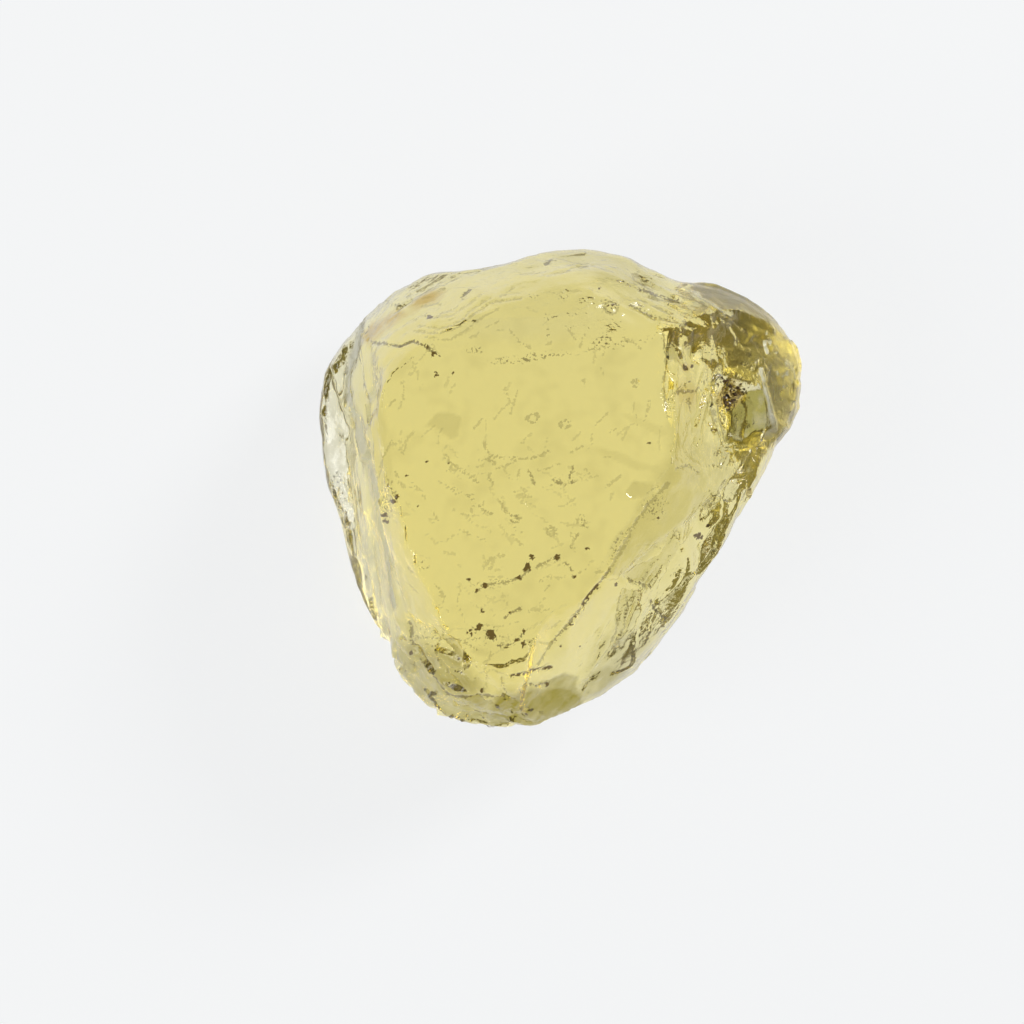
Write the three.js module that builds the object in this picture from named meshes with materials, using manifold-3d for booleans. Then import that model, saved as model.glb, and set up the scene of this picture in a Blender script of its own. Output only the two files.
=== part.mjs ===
// A rough citrine: one broken lump of clear yellow quartz, lying on its flattest fracture.
// Millimetres, +Z up. The origin is under the middle of the lump, on the surface it rests on.
// The lump starts as a rounded block around the stone's widest line. Each fracture is then a slab
// whose lower side has the curve and unevenness of that fracture, and takes away what is beyond it.

import * as THREE from "three";
import { mergeVertices } from "three/addons/utils/BufferGeometryUtils.js";
import Module from "manifold-3d";

const wasm = await Module();
wasm.setup();

const THICKNESS = 25; // from the resting face to the highest point
const SLAB = { width: 54, height: 54, depth: 40 }; // how far a cutter reaches sideways, uphill and out
const BEND = 11; // how far from its point a fracture goes on bending

// The widest line of the stone, anticlockwise from the blunt left edge: x, y and its height.
const WIDEST = [
  [-19.3, 6.4, 5.2], [-19.1, 3.4, 4.8], [-18.7, 0.5, 4.4], [-17.6, -2.4, 3.9], [-16.8, -6.1, 3.4],
  [-15.7, -9.0, 3.6], [-14.7, -10.9, 5.4], [-13.8, -12.8, 9.6], [-12.5, -15.1, 12.2],
  [-10.6, -17.2, 14.2], [-8.2, -18.4, 15.2], [-5.0, -19.1, 15.8], [-2.0, -18.6, 16.2],
  [1.2, -17.3, 15.0], [3.2, -16.4, 13.0], [5.8, -14.6, 11.4], [8.0, -12.3, 11.2], [10.0, -9.6, 12.4],
  [10.9, -7.5, 13.6], [12.2, -5.9, 14.6], [14.0, -2.6, 15.0], [15.9, 1.0, 14.2], [17.0, 3.2, 12.6],
  [18.1, 4.5, 11.2], [19.2, 6.4, 9.8], [19.3, 9.8, 10.4], [18.5, 11.7, 11.4], [17.0, 13.6, 12.4],
  [14.8, 15.1, 13.2], [12.4, 16.05, 13.6], [9.4, 16.4, 14.0], [7.4, 17.2, 14.8], [5.0, 18.2, 15.4],
  [3.0, 18.8, 15.6], [1.0, 19.0, 16.0], [-1.6, 18.6, 16.4], [-3.6, 17.9, 15.8], [-5.8, 17.4, 14.6],
  [-8.0, 17.2, 13.4], [-10.4, 17.1, 12.0], [-13.2, 15.6, 10.6], [-15.7, 13.6, 7.4],
  [-17.5, 11.5, 6.4], [-18.85, 9.3, 5.6],
];

// How the block draws in above and below that line, how uneven it is, and in how many rings.
const BLOCK = { insetBelow: 1.6, insetAbove: 5.2, rings: 7, hill: 5.5, uneven: 0.8 };

// A fracture passes through the point at. It looks along the compass direction azimuth, in degrees
// from +X towards +Y, and its outward normal stands rise degrees above the horizontal.
// across and along are its radii of curvature sideways and uphill: positive is hollow, negative bulges.
// rough is the height of its unevenness and grain the width and length of the hills, turned by turn;
// shelves breaks the hills into that many steps; ripples spread in rings from a struck point;
// cell is the size of the grid it is cut with, across and along the grain where they differ.
const FRONT = [
  { name: "main face", at: [-3, -1, 24.8], azimuth: 75, rise: 88, across: -150, along: -110,
    rough: 0.12, grain: [8, 6], cell: 2.2 },
  { name: "top band", at: [-1, 12.4, 24.0], azimuth: 96, rise: 60, across: 120, along: 60,
    rough: 0.3, grain: [7, 3.4], turn: 20,
    ripples: { from: [-12, -14], spacing: 5.6, height: 0.1 }, cell: 1.3 },
  { name: "top rim", at: [-1, 17, 20.4], azimuth: 95, rise: 34, across: -60,
    rough: 0.4, grain: [6, 4], shelves: 3, cell: 1.3 },
  { name: "top right rim", at: [6.4, 15.4, 20.8], azimuth: 68, rise: 34, across: 50, along: 40,
    rough: 0.5, grain: [3.4, 6], turn: 35, shelves: 3, cell: 1.2 },
  { name: "corner chip", at: [-11.2, -13.6, 23.6], azimuth: 217, rise: 25, across: 26, along: 40,
    rough: 0.5, grain: [5, 4], shelves: 3, cell: 1.3 },
  { name: "bottom face", at: [-5, -15.6, 23.6], azimuth: 270, rise: 29, across: -90, along: 50,
    rough: 0.5, grain: [5, 4], shelves: 3, cell: 1.3 },
  { name: "shoulder", at: [7.6, 0.5, 24.0], azimuth: 331, rise: 46, across: 120, along: 60,
    rough: 0.3, grain: [6, 4], turn: 30, cell: 1.4 },
  { name: "patch", at: [1.5, -9.5, 24.0], azimuth: 324, rise: 48, across: 60, along: 26,
    rough: 0.15, grain: [7, 5], cell: 1.4 },
  { name: "upper flank", at: [9.4, -2.9, 21.2], azimuth: 319, rise: 31, across: -120, along: 50,
    rough: 0.6, grain: [3.2, 12], turn: -38, shelves: 2, cell: [0.9, 3.4] },
];

const SIDES = [
  { name: "upper top side", at: [-5.4, 17.4, 16.2], azimuth: 98, rise: 20, across: -70, along: 60,
    rough: 0.5, grain: [8, 5], cell: 1.7 },
  { name: "upper left top side", at: [-12.4, 15.9, 12.8], azimuth: 122, rise: 26, across: -60,
    rough: 0.4, grain: [6, 5], cell: 1.7 },
  { name: "upper right top side", at: [5.2, 18.1, 16.6], azimuth: 67, rise: 20, along: 60,
    rough: 0.4, grain: [6, 6], cell: 1.7 },
  { name: "bottom side", at: [-4.6, -18.9, 17.0], azimuth: 265, rise: 20, across: -50,
    rough: 0.5, grain: [6, 5], shelves: 2, cell: 1.6 },
  { name: "corner side", at: [-12.4, -15.2, 13.6], azimuth: 220, rise: 14, across: -60,
    rough: 0.5, grain: [6, 5], shelves: 2, cell: 1.6 },
  { name: "lower top side", at: [-4, 17.9, 8.4], azimuth: 94, rise: -26, across: -70,
    rough: 0.5, grain: [8, 5], cell: 1.8 },
  { name: "lower right top side", at: [9.8, 16, 8], azimuth: 72, rise: -30, across: -70,
    rough: 0.4, grain: [7, 5], cell: 1.8 },
  { name: "lower right side", at: [15.2, 0.4, 6.4], azimuth: 331, rise: -22, across: -90,
    rough: 0.4, grain: [7, 5], cell: 1.8 },
  { name: "lower bottom side", at: [-6, -18.6, 6], azimuth: 262, rise: -30, across: -60,
    rough: 0.5, grain: [7, 5], cell: 1.8 },
];

const BACK = [
  { name: "back top", at: [-2, 10.7, 0], azimuth: 98, rise: -68, across: 160,
    rough: 0.1, grain: [8, 5], cell: 2 },
  { name: "back top rim", at: [-2, 16.4, 3.0], azimuth: 92, rise: -40, across: -60,
    rough: 0.4, grain: [7, 5], cell: 1.8 },
  { name: "back upper left", at: [-14.2, 7, 0], azimuth: 168, rise: -69,
    rough: 0.15, grain: [6, 5], cell: 2 },
  { name: "back left", at: [-14.4, 1, 0], azimuth: 186, rise: -69, across: -90,
    rough: 0.15, grain: [6, 5], cell: 2 },
  { name: "back lower left", at: [-13.0, -7, 0], azimuth: 193, rise: -68, across: -90,
    rough: 0.15, grain: [6, 5], cell: 2 },
  { name: "back corner", at: [-10.8, -13.2, 0], azimuth: 220, rise: -50, across: 60,
    rough: 0.3, grain: [5, 4], cell: 1.6 },
  { name: "back bottom", at: [-4.6, -14.4, 0], azimuth: 285, rise: -44, across: -60,
    rough: 0.3, grain: [5, 4], cell: 1.6 },
  { name: "back lower right", at: [3.6, -6.5, 0], azimuth: 327, rise: -56, across: 160, along: 60,
    rough: 0.35, grain: [4, 6], turn: 30, shelves: 3, cell: 1.5 },
  { name: "back right", at: [8.4, 6, 0], azimuth: 2, rise: -48, across: 200, along: 60,
    rough: 0.4, grain: [4, 5], turn: 20, shelves: 3, cell: 1.5 },
];

// The rough step down from the main body to the low knob on the right.
const KNOB_WALL = { at: [9.0, 8, 23.4], azimuth: 357, rise: 26, across: 40, along: 20,
  rough: 0.6, grain: [2.8, 7], turn: 20, shelves: 3, cell: [0.9, 1.6] };

// A ledge is what two fractures cut together: a wall, and the tread it ends on.
const LEDGES = [
  { name: "upper left wall",
    wall: { at: [-14.2, 6.6, 24], azimuth: 170, rise: 8, across: -60, along: 60,
      rough: 0.4, grain: [2.6, 11], turn: 8, shelves: 2, cell: [0.8, 3.2] },
    tread: { at: [-17.6, 5, 7.8], azimuth: 196, rise: 60, across: -40, along: 20,
      rough: 0.25, grain: [5, 4], cell: 1.5 } },
  { name: "left wall",
    wall: { at: [-14.2, 0.6, 24.1], azimuth: 187, rise: 5, across: 90, along: 60,
      rough: 0.4, grain: [2.6, 11], turn: -8, shelves: 2, cell: [0.8, 3.2] },
    tread: { at: [-16.6, 0, 6.8], azimuth: 200, rise: 60, across: -60, along: 16,
      rough: 0.25, grain: [5, 4], cell: 1.5 } },
  { name: "lower left wall",
    wall: { at: [-12.9, -7.4, 24], azimuth: 193, rise: 6, across: 50, along: 50,
      rough: 0.4, grain: [2.6, 10], turn: 12, shelves: 2, cell: [0.8, 3.2] },
    tread: { at: [-15.2, -5.6, 5.0], azimuth: 214, rise: 62, across: -60,
      rough: 0.2, grain: [5, 4], cell: 1.6 } },
  { name: "knob", wall: KNOB_WALL,
    tread: { at: [14, 10, 16.6], azimuth: 16, rise: 66, across: -60, along: -60,
      rough: 0.4, grain: [4, 3], shelves: 2, cell: 1.3 } },
  { name: "knob brow", wall: KNOB_WALL,
    tread: { at: [14.9, 15.2, 12.8], azimuth: 58, rise: 46, across: -60,
      rough: 0.2, grain: [6, 5], cell: 1.5 } },
  { name: "knob nose", wall: KNOB_WALL,
    tread: { at: [18.7, 9.2, 12.4], azimuth: 4, rise: 38, across: -50,
      rough: 0.25, grain: [5, 4], cell: 1.5 } },
  { name: "toe",
    wall: { at: [3.8, -10.4, 21.6], azimuth: 320, rise: 25, across: 90, along: 60,
      rough: 0.55, grain: [3.2, 12], turn: -34, shelves: 2, cell: [0.9, 3.4] },
    tread: { at: [7.0, -11.8, 10.4], azimuth: 314, rise: 36, across: -50, along: -60,
      rough: 0.15, grain: [6, 5], cell: 1.5 } },
  { name: "upper left hollow",
    wall: { at: [-12.2, 11.6, 23.4], azimuth: 118, rise: 34, across: 30, along: 16,
      rough: 0.2, grain: [5, 4], ripples: { from: [0, 9], spacing: 3.9, height: 0.14 }, cell: 1.1 },
    tread: { at: [-12.8, 14.6, 15.5], azimuth: 118, rise: 50, across: 30,
      rough: 0.25, grain: [5, 4], cell: 1.3 } },
];

// A square-cornered piece is missing from the knob: the outline of the floor that it left, where the
// floor lies, how much it falls towards +X, and how far its walls open out over their height.
const POCKET = {
  floor: [[-1.3, -1.7], [0.2, -1.9], [1.3, -1.3], [1.25, 1.2], [0.9, 1.8], [-1.1, 1.7], [-1.45, 0.4]],
  at: [14.3, 5.7, 15.3], fall: 8, height: 3, open: 1.9,
};

// Small chips broken out of the sharp edges: rough balls bite every few millimetres along a line.
// bite is how deep they go, radius the curve of the chips.
const CHIPPED_EDGES = [
  { name: "left edge", from: [-14.6, 8, 24], to: [-13, -9, 24.6], chips: 6, radius: 5.6, bite: 0.5 },
  { name: "corner", from: [-12.6, -10.5, 24.6], to: [-9.2, -15.4, 24.4], chips: 3, radius: 5, bite: 0.55 },
  { name: "bottom edge", from: [-8, -15.4, 24.3], to: [-1.6, -15.2, 24.3], chips: 3, radius: 5.6,
    bite: 0.55 },
  { name: "upper scales", from: [-13.6, -12.4, 18], to: [-5.4, -18, 17], chips: 5, radius: 5.6,
    bite: 0.6 },
  { name: "lower scales", from: [-14, -12.6, 12], to: [-2.4, -18.8, 11], chips: 5, radius: 5, bite: 0.5 },
  { name: "flank edge", from: [5.6, -5.4, 23.2], to: [13.6, 1.0, 18.6], chips: 5, radius: 5, bite: 0.45 },
  { name: "toe edge", from: [3.2, -14, 14], to: [9.6, -8.8, 13], chips: 4, radius: 5, bite: 0.45 },
  { name: "top rim", from: [-6, 16, 21], to: [4, 17, 21], chips: 4, radius: 6, bite: 0.55 },
  { name: "stair steps", from: [4.8, 14.8, 23], to: [9.4, 12.4, 23], chips: 4, radius: 4.4, bite: 0.5 },
  { name: "left rim", from: [-19.4, 8, 6.4], to: [-17, -6, 4.4], chips: 5, radius: 5, bite: 0.3 },
];

// Pits are bitten straight down from above.
const PITS = [
  { at: [12.7, 7.9], radius: 0.8 },
  { at: [13.2, 7.1], radius: 0.6 },
  { at: [-12.6, 14.3], radius: 0.6 },
  { at: [-11.9, 14.7], radius: 0.5 },
  { at: [2.6, 13.6], radius: 0.55 },
  { at: [3.4, 14.1], radius: 0.5 },
];

const radians = THREE.MathUtils.degToRad;

// A closed three.js geometry as a solid that can be cut.
function solidOf(geometry) {
  const bare = geometry.clone();
  bare.deleteAttribute("normal");
  bare.deleteAttribute("uv");
  const merged = mergeVertices(bare, 1e-4);
  const mesh = new wasm.Mesh({
    numProp: 3,
    vertProperties: merged.attributes.position.array,
    triVerts: new Uint32Array(merged.index.array),
  });
  return new wasm.Manifold(mesh);
}

// Turns a geometry so that its own +Z looks along azimuth and rise and its +Y uphill, at a point.
function facing(geometry, at, azimuth, rise) {
  geometry.rotateX(Math.PI / 2 - radians(rise));
  geometry.rotateZ(Math.PI / 2 + radians(azimuth));
  geometry.translate(...at);
  return geometry;
}

// Smooth hills between -1 and 1, one unit wide, laid out differently for every seed.
function hills(x, y, seed) {
  const column = Math.floor(x);
  const row = Math.floor(y);
  const level = (i, j) => {
    const wave = 438.5453 * Math.sin(12.71 * i + 31.17 * j + 7.47 * seed);
    return 2 * (wave - Math.floor(wave)) - 1;
  };
  const ease = (t) => t * t * (3 - 2 * t);
  const across = ease(x - column);
  const up = ease(y - row);
  const near = THREE.MathUtils.lerp(level(column, row), level(column + 1, row), across);
  const far = THREE.MathUtils.lerp(level(column, row + 1), level(column + 1, row + 1), across);
  return THREE.MathUtils.lerp(near, far, up);
}

// Breaks a height between -1 and 1 into level shelves with short steps between them.
function shelved(height, shelves) {
  const climb = ((height + 1) / 2) * shelves;
  const shelf = Math.floor(climb);
  const step = THREE.MathUtils.smoothstep(climb - shelf, 0.62, 1);
  return (2 * (shelf + step)) / shelves - 1;
}

// How high a fracture's surface lies over its flat plane, u sideways and v uphill of its point.
function relief(u, v, seed, fracture) {
  const { across, along, ripples, rough = 0, grain = [6, 6], turn = 0, shelves } = fracture;
  const bow = (distance, radius) => {
    const bent = Math.min(Math.abs(distance), BEND);
    return radius ? (bent * bent) / (2 * radius) : 0;
  };
  const [c, s] = [Math.cos(radians(turn)), Math.sin(radians(turn))];
  const sideways = (c * u + s * v) / grain[0];
  const uphill = (c * v - s * u) / grain[1];
  const broad = hills(sideways, uphill, seed);
  const fine = hills(2.3 * sideways, 2.3 * uphill, seed + 9);
  let height = rough * ((shelves ? shelved(broad, shelves) : broad) + 0.35 * fine);
  if (ripples) {
    const reach = Math.hypot(u - ripples.from[0], v - ripples.from[1]);
    height += ripples.height * Math.sin((2 * Math.PI * reach) / ripples.spacing);
  }
  return height + bow(u, across) + bow(v, along);
}

function fractureCutter(fracture, seed) {
  const { width, height, depth } = SLAB;
  const { at, azimuth, rise, turn = 0, cell } = fracture;
  const [across, along] = Array.isArray(cell) ? cell : [cell, cell];
  const slab = new THREE.BoxGeometry(width, height, depth, width / across, height / along, 1);
  slab.translate(0, 0, depth / 2);
  slab.rotateZ(radians(turn));
  const spots = slab.attributes.position;
  for (let i = 0; i < spots.count; i++) {
    if (spots.getZ(i) === 0) spots.setZ(i, relief(spots.getX(i), spots.getY(i), seed, fracture));
  }
  return solidOf(facing(slab, at, azimuth, rise));
}

function ledgeCutter({ wall, tread }, seed) {
  return fractureCutter(wall, seed).intersect(fractureCutter(tread, seed + 0.5));
}

function pocketCutter({ floor, at, fall, height, open }) {
  const outline = new THREE.Shape(floor.map(([x, y]) => new THREE.Vector2(x, y)));
  const pocket = new THREE.ExtrudeGeometry(outline, { depth: height, bevelEnabled: false });
  const spots = pocket.attributes.position;
  for (let i = 0; i < spots.count; i++) {
    const wide = spots.getZ(i) > 0 ? open : 1;
    spots.setX(i, spots.getX(i) * wide);
    spots.setY(i, spots.getY(i) * wide);
  }
  pocket.rotateY(radians(fall));
  pocket.translate(...at);
  return solidOf(pocket);
}

// A rough ball of flat facets, a little flattened, for a chip or a pit.
function ball(middle, radius, turn, detail) {
  const lump = new THREE.IcosahedronGeometry(radius, detail);
  lump.scale(0.85, 1, 0.75);
  lump.rotateX(turn * 1.7);
  lump.rotateZ(turn * 2.9);
  lump.translate(middle.x, middle.y, middle.z);
  return solidOf(lump);
}

// Where the stone's surface is met on the way in to a spot.
function surfaceAt(mesh, spot, outward) {
  const start = spot.clone().addScaledVector(outward, 30);
  const hits = new THREE.Raycaster(start, outward.clone().negate()).intersectObject(mesh);
  return hits[0].point;
}

// The chips sit on the outside of the edge, pushed away from the stone's middle by all but the bite.
function chipsOn(mesh, { from, to, chips, radius, bite }) {
  const middle = new THREE.Vector3(-1, 0, 11);
  const bites = [];
  for (let i = 0; i < chips; i++) {
    const sway = Math.sin(i * 2.4 + from[0]);
    const along = (i + 0.5 + 0.3 * sway) / chips;
    const size = radius * (1 + 0.35 * Math.sin(i * 4.1 + from[1]));
    const spot = new THREE.Vector3(...from).lerp(new THREE.Vector3(...to), along);
    const outward = spot.clone().sub(middle).normalize();
    const centre = surfaceAt(mesh, spot, outward);
    centre.addScaledVector(outward, size - bite * (1 + 0.5 * sway));
    bites.push(ball(centre, size, i + from[2], 1));
  }
  return bites;
}

function pitsOn(mesh) {
  const up = new THREE.Vector3(0, 0, 1);
  return PITS.map(({ at: [x, y], radius }, i) => {
    const centre = surfaceAt(mesh, new THREE.Vector3(x, y, 0), up);
    return ball(centre.addScaledVector(up, 0.2 * radius), radius, i, 1);
  });
}

// The block: rings like the widest line, drawn in towards the middle above and below it, and uneven
// everywhere but on that line.
function block() {
  const { insetBelow, insetAbove, rings, hill, uneven } = BLOCK;
  const ring = (level) => WIDEST.map(([x, y, z], i) => {
    const share = Math.abs(level) / rings;
    const height = level < 0 ? z * (1 - share) : z + (THICKNESS - z) * share;
    const inset = (level < 0 ? insetBelow : insetAbove) * share ** 1.7;
    const bump = uneven * Math.min(1, 3 * share) * (1 + hills((i * 2.7) / hill, height / hill, 3));
    const inward = 1 - (inset + bump * 0.5) / Math.hypot(x, y);
    return [x * inward, y * inward, height];
  });
  const loops = Array.from({ length: 2 * rings + 1 }, (unused, i) => ring(i - rings));
  const count = WIDEST.length;
  const triangles = [];
  for (let level = 0; level < loops.length - 1; level++) {
    for (let i = 0; i < count; i++) {
      const here = level * count + i;
      const next = level * count + ((i + 1) % count);
      triangles.push(here, next, here + count, next, next + count, here + count);
    }
  }
  const flat = (loop) => loop.map(([x, y]) => new THREE.Vector2(x, y));
  const top = (loops.length - 1) * count;
  for (const [a, b, c] of THREE.ShapeUtils.triangulateShape(flat(loops[0]), [])) {
    triangles.push(a, c, b);
  }
  for (const [a, b, c] of THREE.ShapeUtils.triangulateShape(flat(loops.at(-1)), [])) {
    triangles.push(top + a, top + b, top + c);
  }
  const geometry = new THREE.BufferGeometry();
  geometry.setAttribute("position", new THREE.Float32BufferAttribute(loops.flat(2), 3));
  geometry.setIndex(triangles);
  return solidOf(geometry);
}

function geometryOf(solid) {
  const { vertProperties, triVerts } = solid.getMesh();
  const geometry = new THREE.BufferGeometry();
  geometry.setAttribute("position", new THREE.BufferAttribute(vertProperties, 3));
  geometry.setIndex(new THREE.BufferAttribute(triVerts, 1));
  geometry.computeVertexNormals();
  return geometry;
}

let stone = block();
for (const [i, fracture] of [...FRONT, ...SIDES, ...BACK].entries()) {
  stone = stone.subtract(fractureCutter(fracture, i));
}
for (const [i, ledge] of LEDGES.entries()) stone = stone.subtract(ledgeCutter(ledge, i));
stone = stone.subtract(pocketCutter(POCKET));

const unchipped = new THREE.Mesh(geometryOf(stone));
const bites = [...CHIPPED_EDGES.flatMap((edge) => chipsOn(unchipped, edge)), ...pitsOn(unchipped)];
for (const bite of bites) stone = stone.subtract(bite);

// The stone is set down with its outline's middle over the origin.
const shape = geometryOf(stone);
shape.computeBoundingBox();
const middle = shape.boundingBox.getCenter(new THREE.Vector3());
shape.translate(-middle.x, -middle.y, 0);

const citrine = new THREE.Mesh(
  shape,
  new THREE.MeshStandardMaterial({ color: 0xe4d683, roughness: 0.06, metalness: 0 }),
);
citrine.name = "citrine";

const group = new THREE.Group();
group.add(citrine);
export default group;
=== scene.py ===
"""The looks of a rough citrine: clear greenish yellow quartz, broken all round, lying on a pale table.

The stone's form is the frame's solid. Here a copy of it gets the finer relief that quartz breaks with:
scoops, planks, ripples, hairline cracks and bruised ridges, with rust and dark specks caught in them.
Unless a comment says otherwise, lengths are in millimetres, angles in degrees, and places are seen from
above.
"""

import math
import random

import bmesh
import bpy
import numpy as np
from mathutils import Matrix, Vector, noise
from mathutils.bvhtree import BVHTree


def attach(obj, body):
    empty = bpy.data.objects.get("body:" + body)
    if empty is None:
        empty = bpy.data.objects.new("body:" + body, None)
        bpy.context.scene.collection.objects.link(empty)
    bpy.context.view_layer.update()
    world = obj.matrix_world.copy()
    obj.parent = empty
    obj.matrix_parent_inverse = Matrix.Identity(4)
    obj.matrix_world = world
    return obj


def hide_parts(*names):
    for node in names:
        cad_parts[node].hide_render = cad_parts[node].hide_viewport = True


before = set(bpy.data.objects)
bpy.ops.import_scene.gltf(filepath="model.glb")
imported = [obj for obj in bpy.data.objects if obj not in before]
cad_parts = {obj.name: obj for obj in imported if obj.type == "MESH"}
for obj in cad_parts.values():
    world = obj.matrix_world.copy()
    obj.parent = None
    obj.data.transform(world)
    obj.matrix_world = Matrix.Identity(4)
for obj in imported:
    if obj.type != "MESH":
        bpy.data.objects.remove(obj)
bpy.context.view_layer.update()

MM = 0.001

# ---------------- Where the stone is broken, stained and cracked, and where shade and grey reflection are painted ---

CELL = 0.36  # side of the fine mesh's faces; the upper side gets them half as large
RIDGE = math.radians(34)  # two faces that meet more sharply than this keep their edge crisp
SMOOTHINGS = 3  # rounds that melt the facets of one fracture into a curve

# How wide the soft border of a patch is, as a share of its radius.
ZONE_BORDER = 0.25
PATCH_BORDER = 0.4
GREY_REFLECTION_BORDER = 0.6
RUST_BORDER = 0.7
IRON_BORDER = 0.8
SPECKLED_BORDER = 0.6
FROSTED_BORDER = 0.35

# Scoops and flakes broken out of the faces, in ellipses: middle, radii and turn of each, and lie, the way
# its scoops run. grain is the size of one scoop, lengthwise, sideways and in height, depth how deep the
# scoops are, flakes how much the flat flakes between them are tilted, and olive how much painted shade
# the darkest of those flakes get, standing in for facets that catch little light.
BROKEN = {
    "flank": {
        "at": (9.5, -6), "radii": (12.5, 5), "turn": 47, "lie": 62,
        "grain": (6.5, 1.3, 7), "depth": 0.12, "flakes": 0.22, "olive_shade_and_mottle": 0.06,
    },
    "flank grain": {
        "at": (9.9, -6), "radii": (12.0, 4.4), "turn": 47, "lie": 62,
        "grain": (7.5, 0.5, 9), "depth": 0.1, "flakes": 0.12, "olive_shade_and_mottle": 0,
    },
    "broken strip": {
        "at": (10.4, 7.6), "radii": (2.8, 5.5), "turn": 10, "lie": 80,
        "grain": (3.4, 0.8, 2), "depth": 0.3, "flakes": 0.4, "olive_shade_and_mottle": 0.3,
    },
    "knob": {
        "at": (15.4, 9.6), "radii": (5, 8), "turn": 0, "lie": -35,
        "grain": (3.2, 1.6, 2.5), "depth": 0.12, "flakes": 0.2, "olive_shade_and_mottle": 0.2,
    },
    "hackles": {
        "at": (7.6, 14.2), "radii": (4.2, 2.6), "turn": -20, "lie": -24,
        "grain": (3.6, 0.55, 2), "depth": 0.2, "flakes": 0.26, "olive_shade_and_mottle": 0.16,
    },
    "scales": {
        "at": (-9, -15.2), "radii": (8.6, 3.8), "turn": -38, "lie": -38,
        "grain": (2.0, 0.9, 2), "depth": 0.26, "flakes": 0.5, "olive_shade_and_mottle": 0.8,
    },
    "left wall": {
        "at": (-15.2, 0.5), "radii": (2.0, 14.5), "turn": 4, "lie": 98,
        "grain": (6, 0.6, 8), "depth": 0.26, "flakes": 0.3, "olive_shade_and_mottle": 0.2,
    },
    "left flange": {
        "at": (-17.6, 2), "radii": (2.4, 12), "turn": 4, "lie": 60,
        "grain": (3.4, 1.6, 2.6), "depth": 0.04, "flakes": 0.05, "olive_shade_and_mottle": 0,
    },
    "top band": {
        "at": (-1, 15.2), "radii": (15.5, 4.6), "turn": 0, "lie": 12,
        "grain": (3.4, 1.8, 2.4), "depth": 0.1, "flakes": 0.1, "olive_shade_and_mottle": 0.14,
    },
    "bottom": {
        "at": (-2.5, -17.2), "radii": (6.5, 3), "turn": 4, "lie": 0,
        "grain": (3.4, 2, 2.4), "depth": 0.12, "flakes": 0.16, "olive_shade_and_mottle": 0.4,
    },
}

# Faces that broke clean: middle, radii, turn, and the share by which the scoops fade away there. The
# other patches below are given in the same way, with the share to which each is painted.
SMOOTH = [
    ((2.9, -8.8), (2.0, 3.4), -38, 0.9), ((8.6, -1.6), (4.6, 1.7), 40, 0.7),
    ((5.4, -13.6), (3.8, 2.2), 40, 0.85), ((13.8, 14.4), (5.0, 2.0), -33, 0.9),
    ((14.6, 5.8), (1.9, 2.4), -8, 0.9), ((17.6, 9.0), (1.6, 3.4), -10, 0.5),
    ((8.9, -6.7), (1.0, 2.9), -26, 0.8), ((13.2, -1.6), (0.9, 3.4), -26, 0.5),
    ((-0.6, -16.2), (2.6, 1.4), 40, 0.8), ((0.3, -17.1), (2.8, 1.3), 38, 0.95),
    ((5.2, -13.5), (2.2, 1.5), 46, 0.9), ((-18.2, 6.6), (1.6, 5.0), -14, 0.9),
    ((5.2, 13.2), (2.8, 1.2), -28, 0.9), ((11.8, -3.4), (1.5, 4.2), -30, 0.75),
]

# Places where the creases have worn round, over the whole of each ellipse.
WORN = [
    ((5.2, 13.2), (3.2, 2.0), -28, 1.0), ((-0.1, -17.0), (2.8, 1.5), 38, 1.0),
    ((5.1, -13.3), (2.6, 1.8), 46, 1.0), ((15.1, 6.0), (1.6, 2.0), -8, 1.0),
]
WEARINGS = 20  # rounds that melt those creases
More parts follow.
